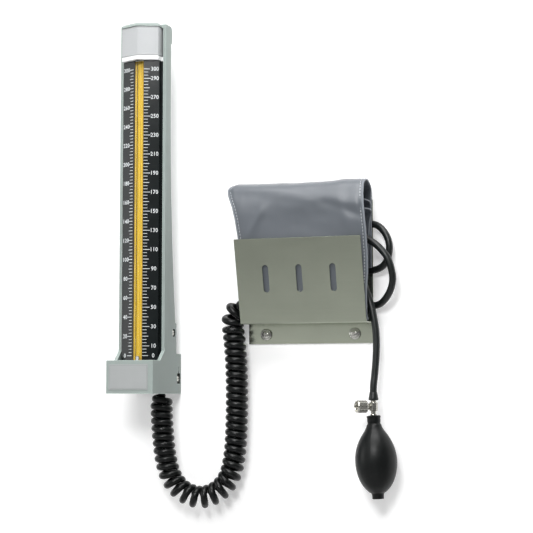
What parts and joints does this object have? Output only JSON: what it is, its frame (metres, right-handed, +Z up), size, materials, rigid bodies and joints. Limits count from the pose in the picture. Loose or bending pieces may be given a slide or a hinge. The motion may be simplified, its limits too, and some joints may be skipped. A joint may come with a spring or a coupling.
{
  "type": "mercury sphygmomanometer",
  "caption": "Wall-mounted mercury blood-pressure gauge with a vertical glass column, coiled hose, cuff in a metal basket, and rubber bulb with a screw valve.",
  "frame": {"origin": "centre of the wall bracket's back face, on the wall", "axes": "+Z up, -Y out of the wall towards the reader, +X to the reader's right; the wall is the plane y = 0"},
  "size_m": [0.287, 0.093, 0.4955],
  "materials": {
    "housing_paint": "satin grey-green stove enamel",
    "bracket_steel": "zinc-plated steel",
    "screw_steel": "nickel-plated steel",
    "cover_paint": "satin enamel",
    "label_metal": "brushed, bare",
    "scale_black": "satin black with white divisions and numbers",
    "scale_yellow": "glossy yellow",
    "tube_glass": "clear",
    "foot_metal": "machined stainless steel",
    "seal_rubber": "matt",
    "filter_leather": "chamois",
    "clamp_white": "white",
    "cap_silver": "satin silver-white",
    "reservoir_steel": "pressed stainless steel",
    "mercury": "liquid metal",
    "basket_steel": "fine-brushed stainless steel",
    "cuff_fabric": "blue-grey woven nylon with a soft sheen",
    "patch_fabric": "hook-and-loop pile",
    "bladder_rubber": "matt latex",
    "coil_rubber": "satin black",
    "hose_rubber": "satin black",
    "socket_plastic": "moulded",
    "valve_chrome": "polished",
    "needle_brass": "machined",
    "bulb_rubber": "satin black moulded",
    "ball_steel": "polished"
  },
  "bodies": {
    "root": {"wall_bracket": "bracket_steel", "housing": "housing_paint", "hook_screws": "screw_steel", "base_cover": "cover_paint", "base_cover_screws": "screw_steel", "label_plate": "label_metal", "scale_plate": "scale_black", "tube_backing": "scale_yellow", "glass_tube": "tube_glass", "tube_foot": "foot_metal", "lower_seal": "seal_rubber", "upper_seal": "seal_rubber", "vent_filter": "filter_leather", "clamp_bridge": "bracket_steel", "bridge_screws": "screw_steel", "clamp_screw": "foot_metal", "scale_clamp": "clamp_white", "top_cap": "cap_silver", "reservoir_cup": "reservoir_steel", "reservoir_gasket": "seal_rubber", "reservoir_lid": "reservoir_steel", "reservoir_clamp": "bracket_steel", "reservoir_screws": "screw_steel", "feed_gasket": "seal_rubber", "air_pipe": "foot_metal", "mercury_feed": "mercury", "mercury_pool": "mercury", "mercury_thread": "mercury", "basket_back": "basket_steel", "basket_front": "basket_steel", "basket_screws": "screw_steel", "cup_washers": "screw_steel", "coiled_hose": "coil_rubber"},
    "meniscus": {"mercury_meniscus": "mercury"},
    "reservoir_level": {"pool_surface": "mercury"},
    "cuff": {"cuff_outer": "cuff_fabric", "cuff_inner": "cuff_fabric", "cuff_bladder": "bladder_rubber", "hook_patch": "patch_fabric", "hose_socket": "socket_plastic", "hose_plug": "valve_chrome", "cuff_hose": "hose_rubber", "bulb_port": "bladder_rubber", "bulb_hose": "hose_rubber", "hose_sleeve": "hose_rubber", "valve_body": "valve_chrome", "bulb": "bulb_rubber", "inlet_valve": "valve_chrome"},
    "knob": {"valve_knob": "valve_chrome"},
    "needle": {"valve_needle": "needle_brass"},
    "inlet_ball": {"inlet_ball": "ball_steel"}
  },
  "joints": [
    {"name": "mercury_rise", "type": "slide", "parent": "root", "child": "meniscus", "axis": [0, 0, 1], "range_m": [0, 0.294], "deforming": ["mercury_thread"]},
    {"name": "reservoir_drop", "type": "slide", "parent": "root", "child": "reservoir_level", "axis": [0, 0, 1], "range_m": [-0.0057, 0], "deforming": ["mercury_pool"]},
    {"name": "cuff_lift", "type": "slide", "parent": "root", "child": "cuff", "axis": [0.5, 0, 0.866], "range_m": [0, 0.16]},
    {"name": "valve_thread", "type": "slide", "parent": "cuff", "child": "needle", "axis": [-0.766, -0.6428, 0], "range_m": [0, 0.0008]},
    {"name": "valve_knob_turn", "type": "hinge", "parent": "needle", "child": "knob", "pos_m": [0.2387, -0.025, -0.033], "axis": [-0.766, -0.6428, 0], "range_deg": [0, 540]},
    {"name": "inlet_ball_lift", "type": "slide", "parent": "cuff", "child": "inlet_ball", "axis": [-0.0523, 0, 0.9986], "range_m": [0, 0.001]}
  ],
  "couplings": [
    {"joint": "reservoir_drop", "follows": "mercury_rise", "ratio": -0.01891},
    {"joint": "valve_thread", "follows": "valve_knob_turn", "m_per_rad": 0.000079577}
  ]
}
